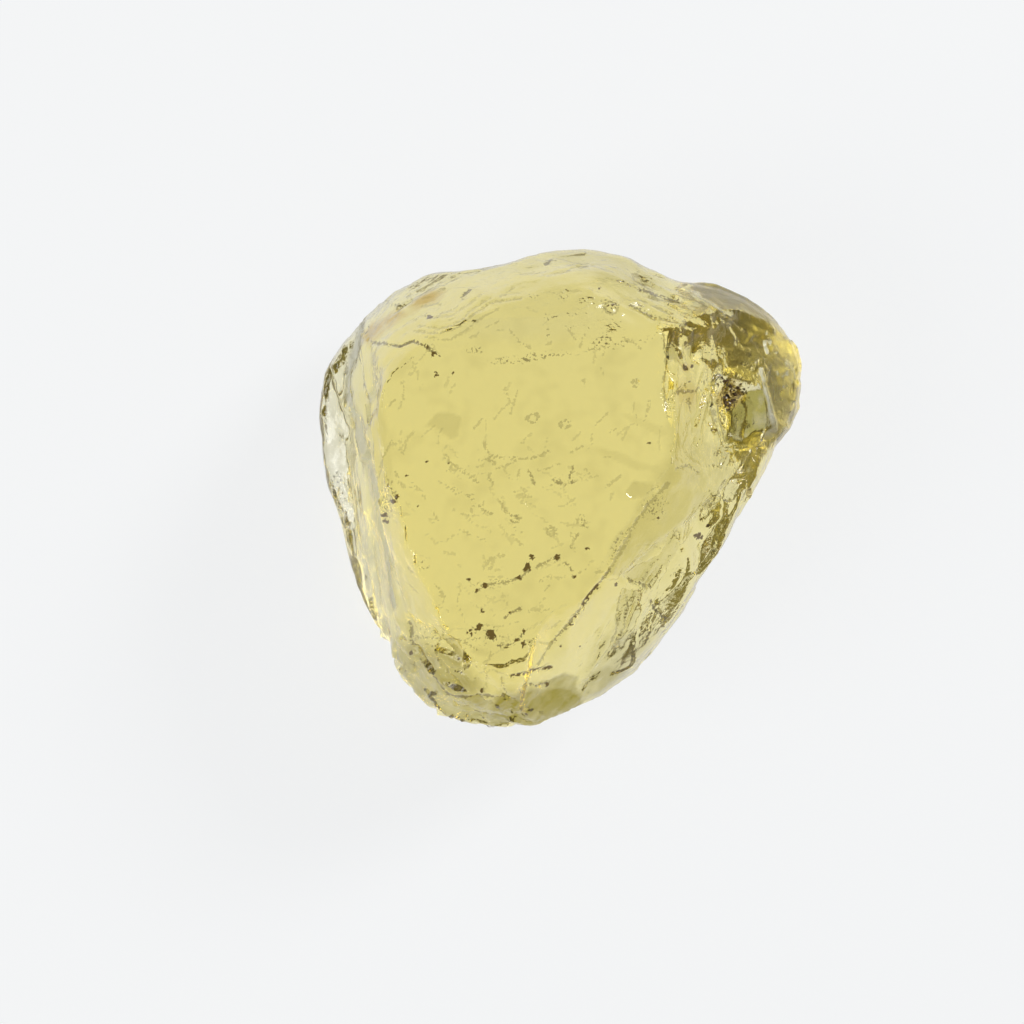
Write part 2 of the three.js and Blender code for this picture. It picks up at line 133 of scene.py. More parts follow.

# Flat flakes with a sharp border. lean is the direction in which one gets deeper and how steeply, depth
# how deep it is cut in its middle, if that isn't FLAKE_DEPTH, and olive how much painted shade darkens
# it, because light reaches it by a long way.
FLAKES = [
    {"outline": [(8.1, 12.1), (9.2, 12.1), (9.6, 9.8), (8.5, 10.0)], "lean": (0, 0.16), "olive_shade_and_mottle": 0.66},
    {"outline": [(9.8, 12.0), (10.8, 10.4), (10.4, 9.8), (9.9, 10.6)], "lean": (20, 0.2), "olive_shade_and_mottle": 0.66},
    {"outline": [(13.1, 6.6), (14.7, 7.8), (15.9, 8.0), (16.3, 7.2), (16.5, 6.1), (16.7, 4.7), (15.1, 4.5),
     (14.3, 3.7), (13.2, 3.8)], "lean": (200, 0.05), "olive_shade_and_mottle": 1.0},
    {"outline": [(12.9, 9.1), (15.3, 8.7), (15.6, 8.1), (14.2, 8.2), (13.0, 8.2)], "lean": (250, 0.3),
     "olive_shade_and_mottle": 0.0},
    {"outline": [(10.2, 16.4), (11.8, 16.6), (13.9, 16.1), (16.2, 14.9), (17.8, 13.5), (18.7, 12.0),
     (16.8, 12.0), (14.8, 12.9), (13.0, 13.8), (11.4, 14.8), (9.8, 15.9)], "lean": (60, 0.02), "olive_shade_and_mottle": 0.5},
    {"outline": [(13.2, 11.7), (14.6, 11.4), (15.2, 12.0), (16.4, 12.0), (16.8, 11.6), (16.0, 11.1),
     (14.4, 11.1)], "lean": (90, 0.1), "olive_shade_and_mottle": 0.7},
    {"outline": [(16.1, 8.6), (16.4, 9.5), (16.8, 9.6), (17.2, 9.1), (17.9, 9.3), (17.4, 8.7), (16.5, 8.3)],
     "lean": (0, 0.2), "olive_shade_and_mottle": 0.7},
    {"outline": [(6.2, -6.1), (7.4, -5.3), (7.9, -5.9), (7.1, -7.5), (6.0, -7.3), (5.2, -7.0)],
     "lean": (300, 0.12), "olive_shade_and_mottle": 0.4, "depth": 0.26},
    {"outline": [(5.0, -7.8), (6.2, -8.1), (6.2, -9.4), (4.9, -12.4), (3.9, -12.4), (4.1, -11.0)],
     "lean": (0, 0.18), "olive_shade_and_mottle": 0.34, "depth": 0.26},
    {"outline": [(5.7, -11.8), (6.0, -12.4), (5.7, -13.9), (4.1, -14.6), (3.1, -14.1), (4.6, -12.9)],
     "lean": (300, 0.05), "olive_shade_and_mottle": 0.3},
    {"outline": [(3.4, -14.6), (5.8, -14.2), (4.0, -16.4), (1.4, -16.9), (2.0, -15.5)], "lean": (280, 0.05),
     "olive_shade_and_mottle": 0.72},
    {"outline": [(6.3, -11.0), (8.0, -10.6), (8.6, -11.5), (6.4, -14.2), (5.9, -13.0)], "lean": (320, 0.05),
     "olive_shade_and_mottle": 0.34},
    {"outline": [(-1.4, -15.2), (0.3, -14.2), (1.5, -14.5), (1.2, -15.9), (-0.7, -17.8), (-2.4, -16.8)],
     "lean": (250, 0.02), "olive_shade_and_mottle": 0.8, "depth": 0.05},
    {"outline": [(-4.4, -16.3), (-1.5, -15.3), (-2.2, -16.9), (-0.8, -18.0), (-3.3, -18.9), (-5.4, -19.1),
     (-5, -17.4)], "lean": (280, 0.04), "olive_shade_and_mottle": 0.76, "depth": 0.08},
    {"outline": [(8.4, 1.0), (6.8, -0.6), (5.7, -2.5), (3.5, -6.5), (5.2, -6.9), (7.5, -4.7), (9.5, -2.9),
     (11.2, -1.6), (12.9, 0.2), (13.8, 1.6), (11.0, 2.2)], "lean": (0, 0.0), "olive_shade_and_mottle": 0.4, "depth": 0.0},
    {"outline": [(5.4, 0.5), (7.1, 0.6), (7.0, -0.4), (5.4, -0.8), (5.0, -0.3)], "lean": (0, 0.03),
     "olive_shade_and_mottle": 0.4},
    {"outline": [(8.2, 3.8), (10.8, 4.0), (13.0, 3.1), (12.4, 1.7), (10, 2.3), (8.4, 2.4)],
     "lean": (330, 0.04), "olive_shade_and_mottle": 0.4},
    {"outline": [(-19.6, 6.8), (-18.9, 5.6), (-18.6, 2.9), (-19.0, 2.2), (-19.8, 5.4)], "lean": (180, 0.1),
     "olive_shade_and_mottle": 0.4, "depth": 0.06},
    {"outline": [(-18.5, 0.5), (-17.4, 2.0), (-17.0, 0.6), (-17.9, -0.8)], "lean": (200, 0.1), "olive_shade_and_mottle": 0.35},
    {"outline": [(-15.0, 10.6), (-14.4, 10.9), (-14.1, 9.8), (-14.7, 9.2)], "lean": (0, 0.1), "olive_shade_and_mottle": 0.4},
    {"outline": [(-10.5, 4.9), (-9.7, 5.8), (-8.6, 6.1), (-7.8, 5.5), (-7.9, 4.1), (-8.6, 3.9), (-9.2, 4.5)],
     "lean": (0, 0.02), "olive_shade_and_mottle": 0.34},
    {"outline": [(-2.9, -0.5), (-1.6, -0.7), (-2.3, -1.6)], "lean": (0, 0.04), "olive_shade_and_mottle": 0.16},
    {"outline": [(9.5, -4.1), (10.3, -6.5), (8.3, -9.4), (7.5, -8.8), (8.0, -6.9)], "lean": (150, 0.2),
     "olive_shade_and_mottle": 0.0, "depth": 0.26},
    {"outline": [(11.0, -4.4), (12.8, -1.8), (12.1, -4.6), (10.8, -6.9)], "lean": (150, 0.2), "olive_shade_and_mottle": 0.0,
     "depth": 0.26},
    {"outline": [(12.7, -0.8), (13.6, 1.0), (14.6, 1.2), (13.6, -1.6), (12.7, -3.4)], "lean": (150, 0.16),
     "olive_shade_and_mottle": 0.06, "depth": 0.26},
    {"outline": [(7.4, -5.6), (9.0, -3.2), (9.4, -4.2), (8.2, -6.2)], "lean": (100, 0.14), "olive_shade_and_mottle": 0.3,
     "depth": 0.26},
    {"outline": [(3.4, -7.0), (4.9, -7.0), (5.0, -8.1), (4.1, -10.3), (3.8, -11.9), (2.5, -14.0),
     (0.9, -14.5), (-0.2, -15.1), (0.9, -10.9), (2.4, -8.2)], "lean": (0, 0.03), "olive_shade_and_mottle": 0.02},
]
FLAKE_DEPTH = 0.12
FLAKE_BORDER = 0.2  # over which a flake's edge drops

# Painted shade: patches that look olive with a soft border, where little light comes through those faces.
OLIVE_SHADE = [
    ((5.0, -3.6), (3.0, 0.8), 55, 0.26), ((6.6, -1.2), (1.3, 1.0), 40, 0.32),
    ((6.6, 5.0), (2.6, 0.45), -20, 0.2), ((4.9, 2.3), (3.4, 0.5), -18, 0.22),
    ((8.0, 1.2), (1.6, 0.7), -24, 0.26), ((10.4, 1.8), (4.2, 1.9), 20, 0.46),
    ((9.6, -1.0), (4.6, 1.7), 38, 0.4), ((15.5, 9.4), (5.2, 7.8), 0, 0.26),
    ((17.2, 10.1), (0.7, 0.5), 20, 0.6), ((18.3, 10.1), (0.6, 0.5), 60, 0.55),
    ((10.8, 14.0), (1.8, 0.8), -30, 0.22), ((10.0, 4.6), (2.2, 5.0), -12, 0.32),
    ((-12.8, -8.0), (1.5, 4.6), 16, 0.4), ((3.9, -13.0), (1.7, 2.6), -42, 0.36),
    ((-11.0, -17.0), (3.6, 1.2), -34, 0.6), ((-7.4, -18.4), (3.8, 1.1), -14, 0.66),
    ((-8.4, -16.6), (3.4, 0.8), -34, 0.5), ((-13.4, -12.6), (0.6, 1.4), 20, 0.35),
    ((-8.8, 17.0), (14, 0.9), 6, 0.25), ((3.6, 17.4), (6.0, 1.5), -14, 0.45),
    ((-6.1, -12.4), (0.9, 0.4), 10, 0.3), ((-13.6, 2.2), (0.7, 6.5), 4, 0.22),
    ((-12.3, 9.4), (1.5, 1.0), 40, 0.16), ((-9.6, -15.2), (7.0, 3.0), -38, 0.74),
    ((-1.8, -17.2), (5.6, 2.6), 8, 1.0), ((3.0, -15.4), (2.8, 1.6), 42, 0.7),
    ((-17.9, 1.5), (1.7, 7.5), 2, 0.3),
]

# Painted grey reflection: patches tinted grey where steep faces mirror the surroundings.
GREY_REFLECTION = [
    ((-14.9, -7.0), (1.9, 6.5), 15, 0.75), ((-13.9, -3.4), (0.9, 4.0), 12, 0.4),
    ((-17.6, -4.6), (1.2, 5.0), 14, 0.4), ((17.4, 7.8), (2.6, 6.0), -4, 0.95),
    ((14.6, 14.0), (5.8, 2.8), -34, 0.8), ((15.2, 10.6), (3.2, 2.2), -20, 0.6),
    ((5.2, -13.4), (2.8, 2.0), 46, 0.4), ((11.3, 14.3), (2.4, 1.5), -20, 0.6),
    ((6.6, 15.4), (3.6, 1.6), -16, 0.25), ((-11.6, -14.6), (1.6, 3.2), 30, 0.4),
    ((4.2, -15.6), (4.4, 1.2), 42, 0.4),
]

# The two ridges along the left wall, from the top down.
OUTER_RIDGE = [
    (-15.8, 13.0), (-16.7, 9.5), (-16.7, 7.1), (-15.9, 5.2), (-15.2, 2.1), (-14.7, -0.2), (-14.2, -2.9),
    (-13.6, -5.6), (-13.0, -9.0),
]
INNER_RIDGE = [
    (-13.2, 10.0), (-14.3, 8.4), (-15.2, 6.5), (-14.9, 4.0), (-14.5, 0.8), (-13.8, -3.4), (-13.0, -5.9),
    (-12.2, -9.0),
]

# Painted grey reflection along them, in ribbons: points along each, its width and its share.
RIBBONS = [(OUTER_RIDGE, 0.55, 0.9), (INNER_RIDGE[1:-1], 0.34, 0.6)]

# Rust that has soaked into the surface.
RUST = [
    ((-14.6, 12.5), (1.9, 0.9), 42, 1.0), ((-13.1, 13.4), (1.8, 0.8), 30, 1.0),
    ((-10.5, 14.8), (2.0, 0.7), 28, 1.0), ((9.8, 9.6), (0.6, 0.35), 10, 1.0),
    ((9.8, 7.4), (1.2, 1.6), 20, 0.4), ((13.3, 7.4), (1.4, 1.1), 30, 0.9),
]

# Spots of dark iron: middle, radii, turn and how dark each is.
IRON = [
    ((12.9, 8.4), (0.6, 0.5), 0, 1.0), ((13.8, 7.7), (1.3, 0.55), 12, 1.0),
    ((13.2, 7.0), (0.55, 1.3), 14, 1.0), ((13.6, 7.3), (0.9, 0.8), 0, 0.9),
    ((-12.6, 14.5), (0.5, 0.36), 40, 0.7), ((-11.8, 15.2), (0.42, 0.28), 30, 0.7),
    ((-0.9, 17.7), (0.6, 0.35), 20, 0.9),
]

# Clouds of fine dark specks.
SPECKLED = [
    ((0.2, 14.9), (0.8, 0.4), 0, 0.7), ((3.8, 14.2), (1.0, 0.8), 0, 0.9),
    ((-0.9, 13.2), (0.6, 0.7), 0, 0.6), ((1.0, 13.5), (0.5, 0.3), 0, 0.6),
    ((3.1, 11.3), (1.2, 0.9), 20, 0.8), ((-2.2, 15.1), (0.7, 0.3), 0, 0.6),
    ((-1.0, 12.0), (0.3, 0.8), 0, 0.6), ((-2.5, 10.1), (4.6, 0.5), 6, 0.7),
    ((4.6, 11.2), (4.4, 0.4), 12, 0.6), ((7.2, -1.3), (1.4, 1.3), 30, 0.6),
    ((4.4, -4.2), (2.6, 0.5), 58, 0.6), ((1.6, -2.5), (0.8, 0.7), 0, 0.7),
    ((-0.2, 0.6), (1.0, 0.7), 0, 0.6), ((-10.6, -5.7), (0.7, 0.7), 0, 0.6),
    ((-3.6, -2.1), (0.8, 0.5), 0, 0.7), ((-13.3, -0.6), (1.0, 2.4), 6, 0.7),
    ((-10.0, -10.9), (2.2, 0.8), -14, 0.6), ((-5.6, -11.2), (2.4, 1.0), -10, 0.6),
    ((-5.4, -7.2), (2.6, 0.5), 8, 0.6), ((11.6, 7.6), (1.0, 2.2), 8, 0.6),
    ((9.5, -6.6), (0.8, 0.9), 0, 0.5), ((-17.8, 1.0), (0.8, 1.0), 0, 0.6),
    ((-6.6, 10.7), (1.0, 0.4), 10, 0.7),
]

# Ridges that have been knocked, whitish because they are crushed fine: points along each, its width and
# how deep it is cut. Where that is less than 0 the ridge stands out.
BRUISED = [
    ([(5.0, -6.8), (7.3, -4.7), (9.5, -2.9), (11.2, -1.6), (12.9, 0.2), (14.0, 1.6), (15.2, 3.6),
      (16.8, 4.5)], 0.5, 0.3),
    ([(7.0, -9.3), (6.2, -10.8), (5.2, -11.8), (3.9, -12.7), (2.5, -14.5), (1.7, -15.4)], 0.35, 0.22),
    (OUTER_RIDGE, 0.3, 0.26),
    (INNER_RIDGE, 0.3, 0.2),
    ([(9.3, 12.1), (9.5, 10.9), (9.9, 9.7)], 0.2, -0.12),
    ([(15.8, 9.5), (16.1, 8.2), (16.6, 6.4), (17.0, 4.7)], 0.22, -0.16),
    ([(9.7, 15.9), (11.4, 14.5), (13.2, 13.4)], 0.24, -0.1),
]

# Faces that look faintly frosted.
FROSTED = [
    ((-1.5, 14.9), (13.0, 3.7), 2, 1.7), ((1.6, -11.4), (1.8, 4.4), -36, 1.0),
    ((-17.4, -3.0), (1.8, 9.0), 10, 1.2), ((-13.4, -5.4), (1.0, 5.0), 14, 1.2),
]

# Hairline cracks: points along each, its width, how deep it is cut and how dark it is.
CRACKS = [
    ([(8.2, 0.6), (7.0, -0.8), (5.7, -2.5), (4.8, -4.3), (3.8, -6.0)], 0.3, 0.1, 0.5),
    ([(3.8, -6.0), (3.1, -7.2), (2.3, -8.2), (1.5, -9.2), (0.8, -10.1), (-0.7, -11.8)], 0.26, 0.14, 0.8),
    ([(2.9, -7.5), (2.3, -8.2), (1.8, -8.9)], 0.34, 0.2, 1.4),
    ([(-0.7, -11.8), (-1.3, -12.7), (-1.8, -13.5)], 0.22, 0.1, 0.6),
    ([(-14.8, 11.6), (-13.5, 11.3), (-12.4, 11.1), (-11.4, 11.4), (-10.5, 11.1), (-9.7, 10.4),
      (-9.3, 10.3)], 0.24, 0.12, 0.9),
    ([(-11.3, 12.3), (-9.5, 12.0), (-7.9, 12.5), (-6.6, 13.7), (-5.4, 14.4), (-3.1, 14.8)], 0.2, 0.08,
      0.42),
    ([(-11.0, 12.7), (-9.4, 12.4), (-7.9, 12.9), (-6.7, 14.1), (-5.4, 14.8)], 0.18, 0.08, 0.36),
    ([(-10.4, 11.7), (-8.8, 11.5), (-7.4, 12.1), (-6.2, 13.2), (-4.8, 13.9)], 0.18, 0.06, 0.36),
    ([(-9.8, 13.3), (-8.4, 13.5), (-7.2, 14.3), (-6.2, 15)], 0.18, 0.06, 0.3),
    ([(-4.0, 12.4), (-3.2, 11.4), (-2.4, 10.8)], 0.18, 0.06, 0.4),
    ([(-7.6, 14.9), (-7.0, 15.5)], 0.22, 0.1, 0.9),
    ([(-5.2, 2.6), (-4.2, 2.4), (-2.8, 2.4), (-1.6, 2.6), (-1.0, 3.0)], 0.2, 0.06, 0.5),
    ([(-5.9, 3.6), (-5.4, 2.6), (-5.0, 2.0), (-5.9, 2.4)], 0.2, 0.06, 0.5),
    ([(-5.0, 1.6), (-4.2, 1.9), (-3.4, 2.2)], 0.16, 0.04, 0.4),
    ([(-3.3, 7.6), (-3.8, 5.8)], 0.16, 0.04, 0.36),
    ([(-13.0, 3.7), (-13.8, 2.4), (-14.2, 0.9)], 0.2, 0.06, 0.4),
    ([(-11.2, 4.6), (-12.4, 3.0)], 0.18, 0.04, 0.3),
    ([(0.9, 1.8), (0.7, 1.0), (0.9, 0.5), (0.4, 0.4), (-0.4, 0.6)], 0.22, 0.1, 0.8),
    ([(-2.5, 1.5), (-2.0, 0.5)], 0.2, 0.06, 0.7),
    ([(-8.6, 2.1), (-8.0, 1.7), (-7.2, 1.1), (-6.3, 0.5)], 0.18, 0.05, 0.5),
    ([(-8.3, 0.2), (-7.4, -0.2), (-6.6, -0.8), (-6.2, -1.5), (-5.3, -1.8)], 0.2, 0.06, 0.55),
    ([(-5.8, 1.2), (-5.2, 0.4)], 0.18, 0.05, 0.5),
    ([(-4.6, -0.9), (-4.1, -1.8), (-3.2, -2.2)], 0.22, 0.06, 0.6),
    ([(-9.9, -1.6), (-9.4, -2.4)], 0.18, 0.04, 0.4),
    ([(-0.3, -5.1), (-1.4, -5.6), (-1.9, -5.9)], 0.2, 0.08, 0.7),
    ([(-2.5, -6.1), (-3.3, -6.8), (-4.0, -7.0), (-5.2, -7.2), (-5.9, -7.3), (-6.5, -7.9)], 0.2, 0.08, 0.7),
    ([(0.3, -5.6), (0.7, -6.1), (0.9, -6.7)], 0.2, 0.08, 0.8),
    ([(1.3, -3.4), (0.9, -3.9), (0.8, -4.4)], 0.18, 0.06, 0.6),
    ([(-4.4, -9.8), (-4.0, -9.5), (-3.1, -9.1)], 0.2, 0.08, 0.8),
    ([(-7.8, -7.4), (-7.9, -8.8), (-7.3, -10.2)], 0.16, 0.04, 0.34),
    ([(-11.4, -11.4), (-10, -11.5), (-8.1, -11.5), (-7.1, -11.8), (-6.2, -12.4)], 0.2, 0.08, 0.6),
    ([(-7.2, -10.9), (-6.7, -10.5), (-6.2, -10.6)], 0.22, 0.1, 1.0),
    ([(-4.9, -11.9), (-3.9, -11.8), (-3.1, -11.3), (-2.8, -10.9)], 0.24, 0.1, 0.9),
    ([(-3.9, -14.3), (-2.9, -14.1), (-2.3, -13.9), (-0.7, -13.7)], 0.24, 0.12, 1.0),
    ([(-2.3, -15.0), (-1.8, -15.2), (-1.1, -15.1)], 0.22, 0.1, 0.9),
    ([(-4.6, -14.5), (-4.4, -15.2), (-4.2, -15.9)], 0.18, 0.08, 0.6),
    ([(-9.8, -12.6), (-9.3, -13.2), (-8.9, -14.2)], 0.16, 0.05, 0.34),
    ([(-5.9, -13.2), (-5.7, -14.6), (-5.9, -15.8)], 0.16, 0.05, 0.3),
    ([(-12.1, -10.3), (-11.4, -12.3), (-10.6, -13.5), (-9.4, -15.1), (-8.6, -15.8), (-7.1, -16.1),
      (-5.6, -15.9), (-4.3, -16.4)], 0.24, 0.12, 0.8),
    ([(7.8, 12.2), (8.1, 9.7), (7.8, 8.1), (8.2, 5.5)], 0.22, 0.14, 0.6),
    ([(9.5, 13.2), (10.3, 12.5), (10.7, 10.6)], 0.22, 0.12, 0.8),
    ([(9.1, 7.4), (9.5, 7.7), (10.5, 7.5), (10.9, 8.0)], 0.22, 0.14, 0.8),
    ([(9.9, 7.0), (10.2, 6.2)], 0.2, 0.12, 0.7),
    ([(6.2, 15.6), (7.8, 15.2), (9.2, 14.9)], 0.26, 0.16, 0.9),
    ([(6.9, 15.1), (8.4, 14.8), (9.4, 14.6)], 0.2, 0.14, 0.6),
    ([(5.4, 14.5), (6.4, 13.9), (7.2, 13.4)], 0.22, 0.14, 0.8),
    ([(6.0, 14.9), (7.2, 14.3), (8.4, 13.8)], 0.18, 0.12, 0.5),
    ([(7.6, 13.4), (8.8, 12.9), (9.9, 12.6)], 0.2, 0.12, 0.6),
    ([(12.2, 7.6), (12.3, 6.0), (12.6, 4.2)], 0.18, 0.16, 0.6),
    ([(12.6, 6.8), (12.8, 5.4), (13.0, 3.9)], 0.18, 0.16, 0.7),
    ([(13.6, 13.2), (14.8, 12.4)], 0.2, 0.12, 0.5),
    ([(7.2, -8.7), (7.5, -9.5), (8.4, -10.2)], 0.24, 0.16, 0.9),
    ([(5.2, -7.0), (6.2, -7.4), (7.1, -7.6)], 0.2, 0.12, 0.8),
    ([(4.9, -8.4), (4.6, -10.2), (4.2, -12.0)], 0.16, 0.12, 0.5),
    ([(5.5, -8.6), (5.2, -10.0), (4.7, -11.9)], 0.16, 0.12, 0.5),
    ([(8.9, 1.6), (9.8, 1.9), (10.8, 1.3)], 0.22, 0.12, 0.6),
]

# Parts of the upper face that are finely scratched: middle, half its sides, the way the scratches lie
# and how many there are.
SCRATCHED = [
    ((-8.0, 1.0), (5.5, 3.5), -38, 26), ((-3.5, -1.0), (4.5, 3.0), -40, 24),
    ((-8.5, -5.5), (4.0, 4.0), -20, 20), ((-2.0, -7.5), (5.0, 3.5), 28, 24),
    ((-5.0, -12.5), (4.0, 2.0), 12, 16), ((3.5, -1.0), (4.0, 4.0), 20, 14),
    ((-1.0, 5.5), (6.5, 3.0), 70, 12), ((-11.0, 6.0), (2.5, 4.0), 55, 14),
    ((-4.0, 13.2), (9.0, 2.2), 12, 16), ((4.5, 7.0), (4.0, 4.5), 85, 12),
]

# Small round marks where something struck the stone: place and radius of a ring groove.
RINGS = [
    ((-2.2, 5.6), 0.35), ((0.2, 5.0), 0.32), ((1.5, -2.3), 0.35), ((-0.9, -3.2), 0.25),
    ((3.8, 14), 0.5), ((5.7, 8.2), 0.25),
]

# Dark specks lodged in the surface: place and size.
SPECKS = [
    (-0.3, -5.1, 0.5), (-2.3, -5.1, 0.42), (-2.7, -6.0, 0.44), (-3.3, -6.7, 0.3), (-5.9, -7.3, 0.44),
    (-6.5, -7.9, 0.26), (-7.2, -7.0, 0.26), (-7.6, -7.6, 0.22), (0.9, -6.5, 0.3), (2.0, -4.5, 0.2),
    (-6.0, -9.3, 0.28), (-4.1, -9.5, 0.26), (-5.4, -11.1, 0.52), (-6.3, -10.6, 0.44), (-6.9, -11.0, 0.26),
    (-2.8, -10.9, 0.4), (-3.0, -11.9, 0.42), (-3.6, -11.5, 0.26), (-14.4, 0.2, 0.28), (-12.6, -0.4, 0.3),
    (-12.7, -0.8, 0.3), (-13.5, -1.9, 0.34), (-13.4, -2.4, 0.28), (-9.4, 8.9, 0.36), (-8.2, 8.9, 0.24),
    (-12.4, 11.1, 0.34), (-10.4, 11.0, 0.3), (-9.8, 10.4, 0.36), (-10.2, 13.3, 0.32), (-15.4, 8.2, 0.24),
    (10.8, -3.8, 0.44), (11.5, -2.8, 0.3), (-2.6, -17.5, 0.26), (2.2, -8.3, 0.36), (1.3, -9.7, 0.2),
    (0.9, -10.4, 0.3), (1.6, -12.0, 0.22), (4.5, -7.5, 0.24), (-11.9, -12.8, 0.24), (-9.7, -14.7, 0.26),
    (-6.1, -15.5, 0.24), (-1.0, -15.2, 0.26), (9.8, 9.6, 0.34), (10.3, 9.6, 0.26), (6.6, 3.7, 0.16),
    (12.3, 4.8, 0.24), (7.4, -2.0, 0.24), (-0.4, 13.2, 0.2), (3.0, 15.7, 0.22), (-10.9, -1.2, 0.2),
    (-8.6, 1.8, 0.2), (-10.4, 2.0, 0.22), (-12.0, 1.0, 0.22), (-7.8, -12.8, 0.18), (0.1, -12.0, 0.2),
]

# The grains of one crumb: how far out and how wide each is, as shares of the crumb's size.
CRUMB_GRAINS = [(0.0, 0.42), (0.55, 0.28), (0.8, 0.22), (1.1, 0.16)]
GRAIN_TURN = 2.4  # radians from one grain to the next, round the crumb's middle
GRAIN_SHAPE = (1.0, 0.62, 0.4)  # its length, width and height, against its radius
GRAIN_SUNK = 0.12  # how deep it is pressed in, against its radius

# Crumbs of iron oxide that stand out of the surface: place and size.
CRUMBS = [
    (12.9, 8.5, 0.7), (13.3, 8.1, 0.6), (13.9, 8.0, 0.62), (13.2, 7.4, 0.72), (13.0, 6.8, 0.6),
    (13.7, 7.5, 0.6), (14.4, 7.9, 0.44), (13.1, 6.3, 0.36), (13.5, 7.0, 0.5), (12.7, 7.8, 0.4),
]


# ---------------- Reckoning the relief, for all points of the mesh at once ----------------

RESTING = 0.02  # up to this height the stone lies on the table, and nothing is cut
PLAIN_BELOW = 5  # no broken zone, no tint of the rim and no halved faces reach below this height
MAIN_FACE_ABOVE = 21  # what is level above this height is the main face

# How far upwards a point faces, from where that begins to count to where it counts in full.
FRONT = (0, 0.2)
SEEN = (-0.14, 0.06)  # for stains, which also show a little way down the sides
LEVEL = (0.9, 0.98)
STEEP = (0.62, 0.12)
BROKEN_SHOWS = 0.6  # from here on up the fine broken grain shows in full
LEAST_BROKEN = 0.3

# The scoops that all rough faces have, and how far those faces are raised to make up for them.
PLAIN_SCOOPS = {"lie": 25, "grain": (3.0, 2.4, 2.8), "depth": 0.1}
RAISED = 0.15
RAISED_FROM = (1, 2)  # the heights between which this begins
SCOOP_ROUNDNESS = 1.4  # more of it makes the scoops narrower, with wider ridges between them
FLAKES_PER_GRAIN = 0.8
FLAKE_SHIFT = 5  # in grains, so that the flakes and the scoops have borders of their own
FLAKE_SCATTER = 37  # spreads the flakes' middles, so that each has a draw of its own
FLAKE_TONES = (0.3, 0.7)  # draws below the first leave a flake pale, and above the second make it dark
FLAKE_SINK = 0.2  # added to their depth, so that more of each is cut in than stands out
FLAKE_LIMITS = (-0.1, 0.6)  # how far the ends of a sloping flake can stand out or be cut in

# Waves laid on top of one another: height, length and shift of each.
STRAY_X = [(0.3, 1.4, 0), (0.1, 0.45, 2)]  # how far the borders of patches stray
STRAY_Y = [(0.3, 1.4, 7), (0.1, 0.45, 9)]
FACE_WAVES = [(0.02, 2.2, 5), (0.015, 0.8, 1)]
BRUISE_WAVES = [(0.8, 1, 4)]
MOTTLES = [(0.55, 2.6, 2), (0.45, 0.9, 6)]
LINE_STRAY = 0.3  # the share of the stray that thin lines have
FACE_WAVES_DEPTH = 0.035
BRUISE_SHARE = 0.6  # how crushed a bruised ridge looks, where its waves are level
MOTTLE_OLIVE = 0.34
LEAST_OLIVE = 0.02
CRUSHED_HIDES_OLIVE = 0.7  # the share of olive that doesn't show through a crushed surface

RING_WIDTH = 0.22
RING_DEPTH = 0.1
RING_DARKNESS = 0.5
SPECK_EDGE = (0.9375, 0.1875)  # where a speck begins and where it is full, as shares of its size
SPECK_STRENGTH = 1.2  # more than 1, so that a speck outdoes any line through it
SPECK_DARKNESS = 1.3
FROST = 0.16  # how crushed a frosted face looks, beside a bruised ridge
RIBBON_FULLNESS = 1.6  # a ribbon is even over more than a third of its width
# Painted shade on the steep rim, all round but at the left.
RIM_SHADE_SHARE = 0.24  # how olive the steep rim looks, all round but at the left
RIM_BEGINS = -14.5
RIM_IS_FULL = -11.5

SCRATCH_SEED = 11
SCRATCH_SPREAD = 20  # degrees by which a scratch departs from its neighbours
SCRATCH_BEND = 0.25  # radians between one stretch of it and the next
SCRATCH_STRETCHES = (1, 2, 2, 3)
SCRATCH_STRETCH = (0.3, 0.8)
SCRATCH_DARKNESS = (0.15, 0.42)
SCRATCH_WIDTH = (0.14, 0.22)
SCRATCH_DEPTH = 0.04


def ramp(values, start, end):
    """0 up to the start, 1 from the end on, and an even slope in between."""
    return np.clip((values - start) / (end - start), 0, 1)


def turned(x, y, at, turn):
    """x and y from a place, along axes turned by that many degrees."""
    angle = math.radians(turn)
    dx, dy = x - at[0], y - at[1]
    return dx * math.cos(angle) + dy * math.sin(angle), dy * math.cos(angle) - dx * math.sin(angle)


def ellipse_share(x, y, at, radii, turn, border):
    """1 in the middle of an ellipse and 0 outside it, with a soft border."""
    across, up = turned(x, y, at, turn)
    reach = np.hypot(across / radii[0], up / radii[1])
    return np.clip((1 - reach) / border, 0, 1)


def painted(x, y, patches, border=PATCH_BORDER):
    """The strongest of the patches at each point."""
    strength = np.zeros(len(x))
    for at, radii, turn, share in patches:
        strength = np.maximum(strength, share * ellipse_share(x, y, at, radii, turn, border))
    return strength


def distance(x, y, path):
    """How far each point is from a line drawn through the path."""
    nearest = np.full(len(x), np.inf)
    for (ax, ay), (bx, by) in zip(path, path[1:]):
        dx, dy = bx - ax, by - ay
        along = np.clip(((x - ax) * dx + (y - ay) * dy) / (dx * dx + dy * dy), 0, 1)
        nearest = np.minimum(nearest, np.hypot(x - ax - along * dx, y - ay - along * dy))
    return nearest


def line_share(x, y, path, width):
    """1 along a line through those points, falling to 0 at its width on either side."""
    return np.clip(1 - distance(x, y, path) / width, 0, 1)


def outline_share(x, y, outline, border):
    """1 inside an outline and 0 outside it, changing over that border."""
    closed = outline + outline[:1]
    inside = np.zeros(len(x), dtype=bool)
    for (ax, ay), (bx, by) in zip(closed, closed[1:]):
        if ay != by:
            inside ^= ((y < ay) != (y < by)) & (x < ax + (y - ay) * (bx - ax) / (by - ay))
    away = distance(x, y, closed)
    return np.clip(0.5 + np.where(inside, away, -away) / border, 0, 1)


